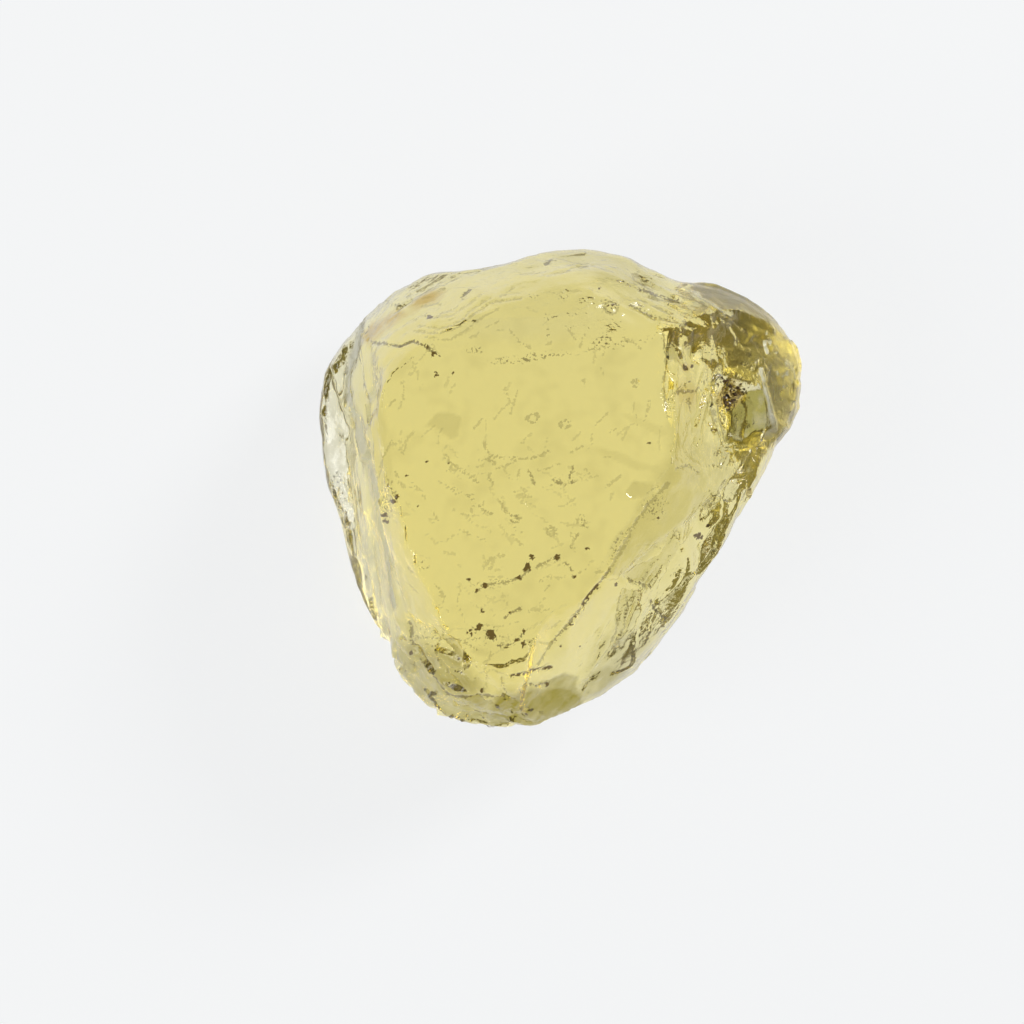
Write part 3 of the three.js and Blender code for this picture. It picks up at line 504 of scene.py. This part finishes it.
def uneven(points, length, shift):
    """Soft noise between -1 and 1, in waves of that length."""
    places = points / length + shift
    return np.array([noise.noise(place) for place in places.tolist()])


def waves(points, sizes):
    """Waves of several sizes, laid on top of one another."""
    return sum(height * uneven(points, length, shift) for height, length, shift in sizes)


def in_grains(points, lie, grain):
    """The points along axes that follow the grain, counted in grains."""
    along, sideways = turned(points[:, 0], points[:, 1], (0, 0), lie)
    return np.column_stack((along / grain[0], sideways / grain[1], points[:, 2] / grain[2]))


def scoops(points, lie, grain):
    """How deep a field of scoops is: 0 on the ridges between them, 1 at the bottom."""
    near = np.array([noise.voronoi(place)[0][0] for place in in_grains(points, lie, grain).tolist()])
    return np.clip(1 - SCOOP_ROUNDNESS * near * near, 0, 1)


def flakes(points, lie, grain):
    """How deep flat flakes lie, each tilted its own way, and how much painted shade each one gets."""
    places = in_grains(points, lie, grain) * FLAKES_PER_GRAIN + FLAKE_SHIFT
    depths = []
    flake_shades = []
    for place in places.tolist():
        middle = noise.voronoi(place)[1][0]
        chance = noise.cell_vector(middle * FLAKE_SCATTER)
        tilt = chance * 2 - Vector((1, 1, 1))
        depths.append(tilt.dot(Vector(place) - middle))
        flake_shades.append(chance.x)
    return np.array(depths), ramp(np.array(flake_shades), *FLAKE_TONES)


def broken_depth(points, x, y, rough):
    """How deep the scoops and flakes are cut in at each point, and how much painted olive shade the flakes
    get.
    """
    height = points[:, 2]
    plain = PLAIN_SCOOPS["depth"] * rough
    depth = plain * scoops(points, PLAIN_SCOOPS["lie"], PLAIN_SCOOPS["grain"])
    olive_shade_and_mottle = np.zeros(len(x))
    for zone in BROKEN.values():
        share = rough * ellipse_share(x, y, zone["at"], zone["radii"], zone["turn"], ZONE_BORDER)
        inside = (share > 0) & (height > PLAIN_BELOW)
        share = share[inside]
        tilted, flake_shades = flakes(points[inside], zone["lie"], zone["grain"])
        cut = zone["depth"] * scoops(points[inside], zone["lie"], zone["grain"])
        depth[inside] += share * (cut + zone["flakes"] * (FLAKE_SINK + tilted))
        olive_shade_and_mottle[inside] = np.maximum(olive_shade_and_mottle[inside], share * zone["olive_shade_and_mottle"] * flake_shades)
    return depth - RAISED * rough * ramp(height, *RAISED_FROM), olive_shade_and_mottle


def cut_flakes(x, y, front, depth, olive_shade_and_mottle):
    """Cuts the flat flakes into the depth and paints their shade."""
    for flake in FLAKES:
        share = front * outline_share(x, y, flake["outline"], FLAKE_BORDER)
        middle = np.mean(flake["outline"], axis=0)
        azimuth, slope = math.radians(flake["lean"][0]), flake["lean"][1]
        along = (x - middle[0]) * math.cos(azimuth) + (y - middle[1]) * math.sin(azimuth)
        depth += share * np.clip(flake.get("depth", FLAKE_DEPTH) + slope * along, *FLAKE_LIMITS)
        olive_shade_and_mottle[:] = np.maximum(olive_shade_and_mottle, flake["olive_shade_and_mottle"] * share)


def scratches():
    """Short faint hairlines strewn over the upper face, most of them lying one way."""
    chance = random.Random(SCRATCH_SEED)
    lines = []
    for (at_x, at_y), (reach_x, reach_y), turn, count in SCRATCHED:
        for _ in range(count):
            x, y = at_x + chance.uniform(-1, 1) * reach_x, at_y + chance.uniform(-1, 1) * reach_y
            path = [(x, y)]
            angle = math.radians(turn + chance.gauss(0, SCRATCH_SPREAD))
            for _ in range(chance.choice(SCRATCH_STRETCHES)):
                angle += chance.gauss(0, SCRATCH_BEND)
                length = chance.uniform(*SCRATCH_STRETCH)
                x, y = x + length * math.cos(angle), y + length * math.sin(angle)
                path.append((x, y))
            dark = chance.uniform(*SCRATCH_DARKNESS)
            lines.append((path, chance.uniform(*SCRATCH_WIDTH), SCRATCH_DEPTH, dark))
    return lines


def nearer(near, dark, share, darkness):
    """Takes a mark's darkness wherever it is the nearest mark so far."""
    closer = share > near
    return np.where(closer, share, near), np.where(closer, darkness, dark)


def cut_marks(soft, thin, front, seen, depth):
    """Cuts the hairlines and rings into the depth, and says how near the nearest mark is and how dark."""
    near = np.zeros(len(depth))
    dark = np.zeros(len(depth))
    for path, width, cut, darkness in CRACKS + scratches():
        share = front * line_share(*thin, path, width)
        depth += cut * share
        near, dark = nearer(near, dark, share, darkness)
    for at, radius in RINGS:
        reach = np.hypot(soft[0] - at[0], soft[1] - at[1])
        share = front * np.clip(1 - np.abs(reach - radius) / RING_WIDTH, 0, 1)
        depth += RING_DEPTH * share
        near, dark = nearer(near, dark, share, RING_DARKNESS)
    for at_x, at_y, size in SPECKS:
        away = np.hypot(soft[0] - at_x, soft[1] - at_y) / size
        share = front * SPECK_STRENGTH * ramp(away, *SPECK_EDGE)
        near, dark = nearer(near, dark, share, SPECK_DARKNESS)
    for at, radii, turn, darkness in IRON:
        share = seen * ellipse_share(*soft, at, radii, turn, IRON_BORDER)
        near, dark = nearer(near, dark, share, darkness)
    return near, dark


def relief(points, normals):
    """How deep each point is cut in, how its surface is stained, and where shade and grey reflection are
    painted on it.
    """
    x, y, z = points.T
    upward = normals[:, 2]
    front = ramp(upward, *FRONT)
    seen = ramp(upward, *SEEN)
    stray_x, stray_y = waves(points, STRAY_X), waves(points, STRAY_Y)
    soft = (x + stray_x, y + stray_y)
    thin = (x + LINE_STRAY * stray_x, y + LINE_STRAY * stray_y)

    main_face = ramp(upward, *LEVEL) * (z > MAIN_FACE_ABOVE)
    rough = (1 - main_face) * (1 - front * painted(*soft, SMOOTH))
    depth, olive_shade_and_mottle = broken_depth(points, *soft, rough)
    # Painted shade: the olive patches, and the steep rim but for the left.
    rim_shade = ramp(upward, *STEEP) * ramp(x, RIM_BEGINS, RIM_IS_FULL) * (z > PLAIN_BELOW)
    olive_shade_and_mottle = np.maximum.reduce([olive_shade_and_mottle, painted(*soft, OLIVE_SHADE), RIM_SHADE_SHARE * rim_shade])
    cut_flakes(*soft, front, depth, olive_shade_and_mottle)
    near, iron = cut_marks(soft, thin, front, seen, depth)

    crushed = FROST * painted(*soft, FROSTED, FROSTED_BORDER)
    patchy = np.clip(BRUISE_SHARE + waves(points, BRUISE_WAVES), 0, 1)
    for path, width, cut in BRUISED:
        share = front * line_share(*thin, path, width)
        crushed = np.maximum(crushed, share * patchy)
        depth += cut * share
    # Painted grey reflection, in patches and in ribbons along the left ridges.
    grey_reflection = painted(*soft, GREY_REFLECTION, GREY_REFLECTION_BORDER)
    for path, width, share in RIBBONS:
        full = np.clip(RIBBON_FULLNESS * line_share(*thin, path, width), 0, 1)
        grey_reflection = np.maximum(grey_reflection, share * full)
    # A faint random mottle of tone, which goes in with the painted shade.
    mottle = LEAST_OLIVE + MOTTLE_OLIVE * np.clip(waves(points, MOTTLES), 0, 1)
    olive_shade_and_mottle = np.maximum(olive_shade_and_mottle, mottle) * (1 - CRUSHED_HIDES_OLIVE * np.clip(crushed, 0, 1))

    depth += FACE_WAVES_DEPTH + waves(points, FACE_WAVES)
    depth[z < RESTING] = 0
    return depth, {
        "rust": seen * painted(*soft, RUST, RUST_BORDER),
        "olive_shade_and_mottle": front * olive_shade_and_mottle,
        "grey_reflection": seen * grey_reflection,
        "iron": iron,
        "near_iron": near,
        "speckled": front * painted(*soft, SPECKLED, SPECKLED_BORDER),
        "crushed": crushed,
        "broken": rough * np.clip(upward / BROKEN_SHOWS, LEAST_BROKEN, 1),
    }


# ---------------- The stone ----------------

WELD = 1e-6  # metres within which two points of the solid are one
LOOKS_UP = 0.25  # how much a face points upwards to belong to the upper side
WEARS_FROM = 0.1  # how much a point faces upwards where a crease wears round
ABOVE = 40  # higher than all of the stone


def linked(name, data):
    """A new object in the scene."""
    made = bpy.data.objects.new(name, data)
    bpy.context.scene.collection.objects.link(made)
    return made


def finely_cut(solid):
    """The frame's solid again, in small even faces that lie on its surface."""
    mesh = bmesh.new()
    mesh.from_mesh(solid.data)
    bmesh.ops.remove_doubles(mesh, verts=mesh.verts, dist=WELD)
    form = bpy.data.meshes.new("form")
    mesh.to_mesh(form)
    mesh.free()
    whole = linked("whole", form)
    even = linked("even", form.copy())
    remesh = even.modifiers.new("even faces", "REMESH")
    remesh.mode = "VOXEL"
    remesh.voxel_size = CELL * MM
    onto = even.modifiers.new("onto the form", "SHRINKWRAP")
    onto.target = whole
    onto.wrap_method = "NEAREST_SURFACEPOINT"
    fine = bpy.data.meshes.new_from_object(even.evaluated_get(bpy.context.evaluated_depsgraph_get()))
    for part in (whole, even):
        bpy.data.objects.remove(part)
    mesh = bmesh.new()
    mesh.from_mesh(fine)
    return mesh


def soften(mesh, verts, rounds):
    """Draws each of the points towards the middle of its neighbours, that many times."""
    for _ in range(rounds):
        bmesh.ops.smooth_vert(
            mesh, verts=verts, factor=0.5, use_axis_x=True, use_axis_y=True, use_axis_z=True
        )
    mesh.normal_update()


def wear(mesh):
    """Melts the facets of each fracture into a curve, and rounds the creases that have worn."""
    crisp = set()
    for edge in mesh.edges:
        if edge.calc_face_angle(0.0) > RIDGE:
            crisp.update(edge.verts)
    free = [vert for vert in mesh.verts if vert not in crisp and vert.co.z > RESTING * MM]
    soften(mesh, free, SMOOTHINGS)
    places = np.array([vert.co for vert in mesh.verts]) / MM
    worn = painted(places[:, 0], places[:, 1], WORN) > 0
    worn = [vert for vert, is_worn in zip(mesh.verts, worn) if is_worn and vert.normal.z > WEARS_FROM]
    soften(mesh, worn, WEARINGS)


def refine_upper_side(mesh):
    """Halves the faces where the relief is finest."""
    facing = [face for face in mesh.faces if face.normal.z > LOOKS_UP]
    upper = [face for face in facing if face.calc_center_median().z > PLAIN_BELOW * MM]
    edges = list({edge for face in upper for edge in face.edges})
    bmesh.ops.subdivide_edges(mesh, edges=edges, cuts=1, use_grid_fill=True)
    mesh.normal_update()


def make_stone(solid):
    """The stone with its relief cut in, and with its stains, painted shade and painted grey reflection as
    attributes of its points.
    """
    mesh = finely_cut(solid)
    wear(mesh)
    refine_upper_side(mesh)
    points = np.array([vert.co for vert in mesh.verts]) / MM
    normals = np.array([vert.normal for vert in mesh.verts])
    depth, paints = relief(points, normals)
    for vert, place in zip(mesh.verts, (points - normals * depth[:, None]) * MM):
        vert.co = place
    for face in mesh.faces:
        face.smooth = True
    data = bpy.data.meshes.new("stone")
    mesh.to_mesh(data)
    mesh.free()
    for name, values in paints.items():
        attribute = data.attributes.new(name, "FLOAT", "POINT")
        attribute.data.foreach_set("value", values.astype(np.float32))
    stone = linked("stone", data)
    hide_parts("citrine")
    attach(stone, "root")
    return stone


def make_crumbs(stone):
    """Crumbs of iron oxide, pressed flat into the surface where it is pitted."""
    surface = BVHTree.FromObject(stone, bpy.context.evaluated_depsgraph_get())
    mesh = bmesh.new()
    for count, (x, y, size) in enumerate(CRUMBS):
        for grain, (away, width) in enumerate(CRUMB_GRAINS):
            angle = GRAIN_TURN * (count + grain)
            at = (x + away * size * math.cos(angle), y + away * size * math.sin(angle), ABOVE)
            place, normal, _, _ = surface.ray_cast(Vector(at) * MM, Vector((0, 0, -1)))
            radius = size * width * MM
            made = bmesh.ops.create_icosphere(mesh, subdivisions=1, radius=radius)["verts"]
            bmesh.ops.scale(mesh, verts=made, vec=GRAIN_SHAPE)
            bmesh.ops.rotate(mesh, verts=made, matrix=Matrix.Rotation(angle, 3, "Z"))
            bmesh.ops.rotate(mesh, verts=made, matrix=normal.to_track_quat("Z", "Y").to_matrix())
            bmesh.ops.translate(mesh, verts=made, vec=place - normal * radius * GRAIN_SUNK)
    data = bpy.data.meshes.new("iron_crumbs")
    mesh.to_mesh(data)
    mesh.free()
    crumbs = linked("iron_crumbs", data)
    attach(crumbs, "root")
    return crumbs


# ---------------- Materials ----------------

# What a millimetre of the quartz takes away of red, green and blue light.
ABSORBED = (0.0030, 0.0085, 0.0510)
QUARTZ_IOR = 1.55
CLEAR = (1, 1, 1, 1)
# Painted shade: the olive that faces with little light get.
OLIVE_SHADE_TINT = (0.20, 0.18, 0.03, 1)
# Painted grey reflection: the grey that steep faces mirror.
GREY_REFLECTION_TINT = (0.46, 0.49, 0.74, 1)
RUST_TINT = (0.56, 0.36, 0.08, 1)
IRON_TINT = (0.03, 0.016, 0.003, 1)
IRON_COLOURS = ((0.05, 0.028, 0.010, 1), (0.20, 0.12, 0.05, 1))
IRON_ROUGHNESS = 0.55
IRON_ROUGHER = 0.3  # where its clouds are thickest

# Noise: how many hills there are to a millimetre, and how many rounds of finer ones lie on them.
COARSE_GRAIN = (0.9, 3.0)
FINE_GRAIN = (3.2, 2.0)
COARSE_FRAY = (1.6, 2.0)
FINE_FRAY = (5.0, 1.5)
SPECKS_NOISE = (4.6, 1.5)
CLOUDS = (0.5, 3.0)
IRON_CLOUDS = (2.0, 3.0)

FINE_GRAIN_HEIGHT = 0.28
QUARTZ_BUMP = 0.3
IRON_BUMP = 0.03

# A mark is dark where it is near enough, and two noises fray its edge: their weights, and where the sum
# begins to count and how steeply.
FRAY_WEIGHTS = {"near": 1.5, "coarse": 1.9, "fine": 2.9}
FRAY_STEP = (3.1, 3.0)
SPECKS_WEIGHT = 0.16  # how much easier specks show in the middle of a cloud of them
SPECKS_STEP = (0.635, 12.0)
SPECKS_DARKNESS = 1.2

# How rough the quartz is and how strongly its grain shows, for each kind of surface.
ROUGHNESS = {"broken": 0.07, "cloud": 0.06, "grey_reflection": 0.22, "crushed": 0.25, "rust": 0.1}
GRAIN_SHOWS = {"broken": 0.45, "crushed": 0.8}
GRAIN_SHOWS_ANYWHERE = 0.13
QUARTZ_SPECULAR = 0.35

# Crushed quartz is whitish, as if it had a coat that throws light back.
CRUSHED_COAT = 0.9
COAT_IOR = 2.6
COAT_ROUGHNESS = 0.3


class Tree:
    """A node tree, with short ways to add and join its nodes."""

    def __init__(self, nodes_of):
        self.nodes = nodes_of.nodes
        self.links = nodes_of.links

    def add(self, kind, **settings):
        node = self.nodes.new(kind)
        for name, value in settings.items():
            setattr(node, name, value)
        return node

    def feed(self, socket, value):
        """Joins a socket to another node's output, or gives it a plain value."""
        if isinstance(value, bpy.types.NodeSocket):
            self.links.new(value, socket)
        else:
            socket.default_value = value

    def math(self, operation, first, second=0.0, clamp=False):
        node = self.add("ShaderNodeMath", operation=operation, use_clamp=clamp)
        self.feed(node.inputs[0], first)
        self.feed(node.inputs[1], second)
        return node.outputs["Value"]

    def total(self, values, weights):
        """The sum of several named values, each times its weight."""
        terms = [self.math("MULTIPLY", values[name], weight) for name, weight in weights.items()]
        result = terms[0]
        for term in terms[1:]:
            result = self.math("ADD", result, term)
        return result

    def steep(self, value, start, slope):
        """0 up to the start, and from there on a steep slope up to 1."""
        return self.math("MULTIPLY", self.math("SUBTRACT", value, start), slope, clamp=True)

    def mix(self, share, first, second):
        node = self.add("ShaderNodeMix", data_type="RGBA")
        self.feed(node.inputs["Factor"], share)
        self.feed(node.inputs["A"], first)
        self.feed(node.inputs["B"], second)
        return node.outputs["Result"]

    def noise(self, place, scale, detail):
        """Noise with that many hills to a millimetre."""
        node = self.add("ShaderNodeTexNoise")
        self.feed(node.inputs["Vector"], place)
        node.inputs["Scale"].default_value = scale / MM
        node.inputs["Detail"].default_value = detail
        return node.outputs["Fac"]

    def place(self):
        return self.add("ShaderNodeTexCoord").outputs["Object"]

    def attribute(self, name):
        return self.add("ShaderNodeAttribute", attribute_name=name).outputs["Fac"]

    def group(self, node_group, **values):
        """A node group put in place, with what goes into each of its inputs."""
        node = self.add("ShaderNodeGroup", node_tree=node_group)
        for name, value in values.items():
            self.feed(node.inputs[name], value)
        return node

    def bump(self, height, distance):
        node = self.add("ShaderNodeBump")
        node.inputs["Distance"].default_value = distance * MM
        self.feed(node.inputs["Height"], height)
        return node.outputs["Normal"]


def new_material(name):
    material = bpy.data.materials.new(name)
    material.use_nodes = True
    return material, Tree(material.node_tree), material.node_tree.nodes["Principled BSDF"]


def new_group(name, masks, result):
    """A node group with a place and several masks going in, and one value coming out."""
    group = bpy.data.node_groups.new(name, "ShaderNodeTree")
    group.interface.new_socket("Place", in_out="INPUT", socket_type="NodeSocketVector")
    for mask in masks:
        group.interface.new_socket(mask, in_out="INPUT", socket_type="NodeSocketFloat")
    group.interface.new_socket(result, in_out="OUTPUT", socket_type="NodeSocketFloat")
    tree = Tree(group)
    return group, tree, tree.add("NodeGroupInput").outputs, tree.add("NodeGroupOutput").inputs


def grain_group():
    """The height of fine broken grain."""
    group, tree, given, result = new_group("broken grain", (), "Height")
    coarse = tree.noise(given["Place"], *COARSE_GRAIN)
    fine = tree.math("MULTIPLY", tree.noise(given["Place"], *FINE_GRAIN), FINE_GRAIN_HEIGHT)
    tree.feed(result["Height"], tree.math("ADD", coarse, fine))
    return group


def marks_group():
    """How dark the surface is from iron and from clouds of specks."""
    group, tree, given, result = new_group("dark marks", ("Near", "Iron", "Speckled"), "Share")
    place = given["Place"]
    values = {
        "near": given["Near"],
        "coarse": tree.noise(place, *COARSE_FRAY),
        "fine": tree.noise(place, *FINE_FRAY),
    }
    frayed = tree.steep(tree.total(values, FRAY_WEIGHTS), *FRAY_STEP)
    frayed = tree.math("MULTIPLY", frayed, given["Iron"])
    easier = tree.math("MULTIPLY", given["Speckled"], SPECKS_WEIGHT)
    specks = tree.steep(tree.math("ADD", tree.noise(place, *SPECKS_NOISE), easier), *SPECKS_STEP)
    darkness = tree.math("MULTIPLY", given["Speckled"], SPECKS_DARKNESS, clamp=True)
    specks = tree.math("MULTIPLY", specks, darkness)
    tree.feed(result["Share"], tree.math("MAXIMUM", frayed, specks, clamp=True))
    return group


def surface_shares(tree, place):
    """How much of each kind the quartz's surface is, with the painted shade and the rust a little cloudy."""
    shares = {name: tree.attribute(name) for name in ("broken", "crushed", "grey_reflection", "olive_shade_and_mottle", "rust")}
    shares["cloud"] = tree.noise(place, *CLOUDS)
    clouded = tree.math("ADD", shares["cloud"], 0.5)  # about 1, because the noise is about a half
    for name in ("olive_shade_and_mottle", "rust"):
        shares[name] = tree.math("MULTIPLY", shares[name], clouded, clamp=True)
    return shares


def quartz_material(grain, marks):
    """Clear yellow quartz: its yellow comes from the depth of stone that the light crosses, with painted
    shade, painted grey reflection, rust and iron laid on it.
    """
    material, tree, surface = new_material("citrine quartz")
    place = tree.place()
    shares = surface_shares(tree, place)
    marked = tree.group(
        marks,
        Place=place,
        Near=tree.attribute("near_iron"),
        Iron=tree.attribute("iron"),
        Speckled=tree.attribute("speckled"),
    )
    # Painted grey reflection and painted olive shade over clear quartz, then the stone's own rust and iron.
    colour = tree.mix(shares["grey_reflection"], CLEAR, GREY_REFLECTION_TINT)
    colour = tree.mix(shares["olive_shade_and_mottle"], colour, OLIVE_SHADE_TINT)
    colour = tree.mix(shares["rust"], colour, RUST_TINT)
    colour = tree.mix(marked.outputs["Share"], colour, IRON_TINT)
    tree.feed(surface.inputs["Base Color"], colour)
    tree.feed(surface.inputs["Roughness"], tree.total(shares, ROUGHNESS))

    strength = tree.math("ADD", tree.total(shares, GRAIN_SHOWS), GRAIN_SHOWS_ANYWHERE)
    height = tree.math("MULTIPLY", tree.group(grain, Place=place).outputs["Height"], strength)
    tree.feed(surface.inputs["Normal"], tree.bump(height, QUARTZ_BUMP))
    coat = tree.math("MULTIPLY", shares["crushed"], CRUSHED_COAT, clamp=True)
    tree.feed(surface.inputs["Coat Weight"], coat)
    surface.inputs["Coat IOR"].default_value = COAT_IOR
    surface.inputs["Coat Roughness"].default_value = COAT_ROUGHNESS
    surface.inputs["Transmission Weight"].default_value = 1.0
    surface.inputs["IOR"].default_value = QUARTZ_IOR
    surface.inputs["Specular IOR Level"].default_value = QUARTZ_SPECULAR
    inside = tree.add("ShaderNodeVolumeAbsorption")
    inside.inputs["Color"].default_value = (*[1 - share / ABSORBED[2] for share in ABSORBED], 1)
    inside.inputs["Density"].default_value = ABSORBED[2] / MM
    tree.feed(tree.nodes["Material Output"].inputs["Volume"], inside.outputs["Volume"])
    return material


def iron_material(grain):
    """Dark brown iron oxide, dull and crumbly."""
    material, tree, surface = new_material("iron oxide")
    place = tree.place()
    cloud = tree.noise(place, *IRON_CLOUDS)
    tree.feed(surface.inputs["Base Color"], tree.mix(cloud, *IRON_COLOURS))
    rough = tree.math("ADD", tree.math("MULTIPLY", cloud, IRON_ROUGHER), IRON_ROUGHNESS)
    tree.feed(surface.inputs["Roughness"], rough)
    height = tree.group(grain, Place=place).outputs["Height"]
    tree.feed(surface.inputs["Normal"], tree.bump(height, IRON_BUMP))
    return material


broken_grain = grain_group()
stone = make_stone(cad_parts["citrine"])
stone.data.materials.append(quartz_material(broken_grain, marks_group()))
iron_crumbs = make_crumbs(stone)
iron_crumbs.data.materials.append(iron_material(broken_grain))

# ---------------- Table, light and camera ----------------

TABLE_HALF = 0.8  # metres, half its side
TABLE_GAP = 0.05  # below the stone's foot, so that the two faces don't lie in one plane
TABLE_COLOUR = (0.15, 0.15, 0.152, 1)
TABLE_ROUGHNESS = 0.8
GLOW = 0.79
GLOW_NEAR = (0.985, 0.995, 1, 1)
GLOW_FAR = (0.3, 0.3, 0.3, 1)
GLOW_REACH = 62  # up to this distance the table glows evenly
GLOW_FADE = 120  # over this further distance its glow falls off

# Lamps: place in metres, side in metres and power in watts. They face the middle of the stone.
LAMPS = {"key": ((0.25, 0.2, 0.3), 0.12, 0.8), "fill": ((-0.3, -0.1, 0.25), 0.2, 0.5)}
LAMP_TARGET = Vector((0, 0, 0.01))
SKY = (0.93, 0.97, 1.0, 1)
SKY_STRENGTH = 0.3

LENS = 176
SENSOR = 36
VIEW_MIDDLE = (-3.76, -1.70)
VIEW_WIDTH = 81.92  # what the camera sees from side to side, at the height below
VIEW_LEVEL = 7
NEAREST_SEEN = 0.01  # metres


def make_table():
    """A pale table, lit from below as well as from above, most in the middle."""
    mesh = bmesh.new()
    bmesh.ops.create_grid(mesh, x_segments=1, y_segments=1, size=TABLE_HALF)
    bmesh.ops.translate(mesh, verts=mesh.verts, vec=(0, 0, -TABLE_GAP * MM))
    data = bpy.data.meshes.new("table")
    mesh.to_mesh(data)
    mesh.free()
    material, tree, surface = new_material("pale table")
    reach = tree.add("ShaderNodeVectorMath", operation="LENGTH")
    tree.feed(reach.inputs[0], tree.place())
    away = tree.math("SUBTRACT", reach.outputs["Value"], GLOW_REACH * MM)
    away = tree.math("DIVIDE", away, GLOW_FADE * MM, clamp=True)
    tree.feed(surface.inputs["Emission Color"], tree.mix(away, GLOW_NEAR, GLOW_FAR))
    surface.inputs["Base Color"].default_value = TABLE_COLOUR
    surface.inputs["Roughness"].default_value = TABLE_ROUGHNESS
    surface.inputs["Emission Strength"].default_value = GLOW
    data.materials.append(material)
    linked("table", data)


def make_light():
    """Two soft lamps and a dim sky."""
    world = bpy.data.worlds.new("dim studio")
    bpy.context.scene.world = world
    world.use_nodes = True
    background = world.node_tree.nodes["Background"]
    background.inputs["Color"].default_value = SKY
    background.inputs["Strength"].default_value = SKY_STRENGTH
    for name, (at, size, power) in LAMPS.items():
        light = bpy.data.lights.new(name, "AREA")
        light.size = size
        light.energy = power
        lamp = linked(name, light)
        lamp.location = at
        lamp.rotation_euler = (LAMP_TARGET - Vector(at)).to_track_quat("-Z", "Y").to_euler()


def make_camera():
    """Straight above, as one looks down on a stone on a table."""
    camera = bpy.data.cameras.new("camera")
    camera.lens = LENS
    camera.sensor_width = SENSOR
    camera.clip_start = NEAREST_SEEN
    eye = linked("camera", camera)
    x, y = VIEW_MIDDLE
    eye.location = (x * MM, y * MM, (VIEW_WIDTH * LENS / SENSOR + VIEW_LEVEL) * MM)
    bpy.context.scene.camera = eye


make_table()
make_light()
make_camera()
bpy.context.scene.view_settings.view_transform = "Standard"
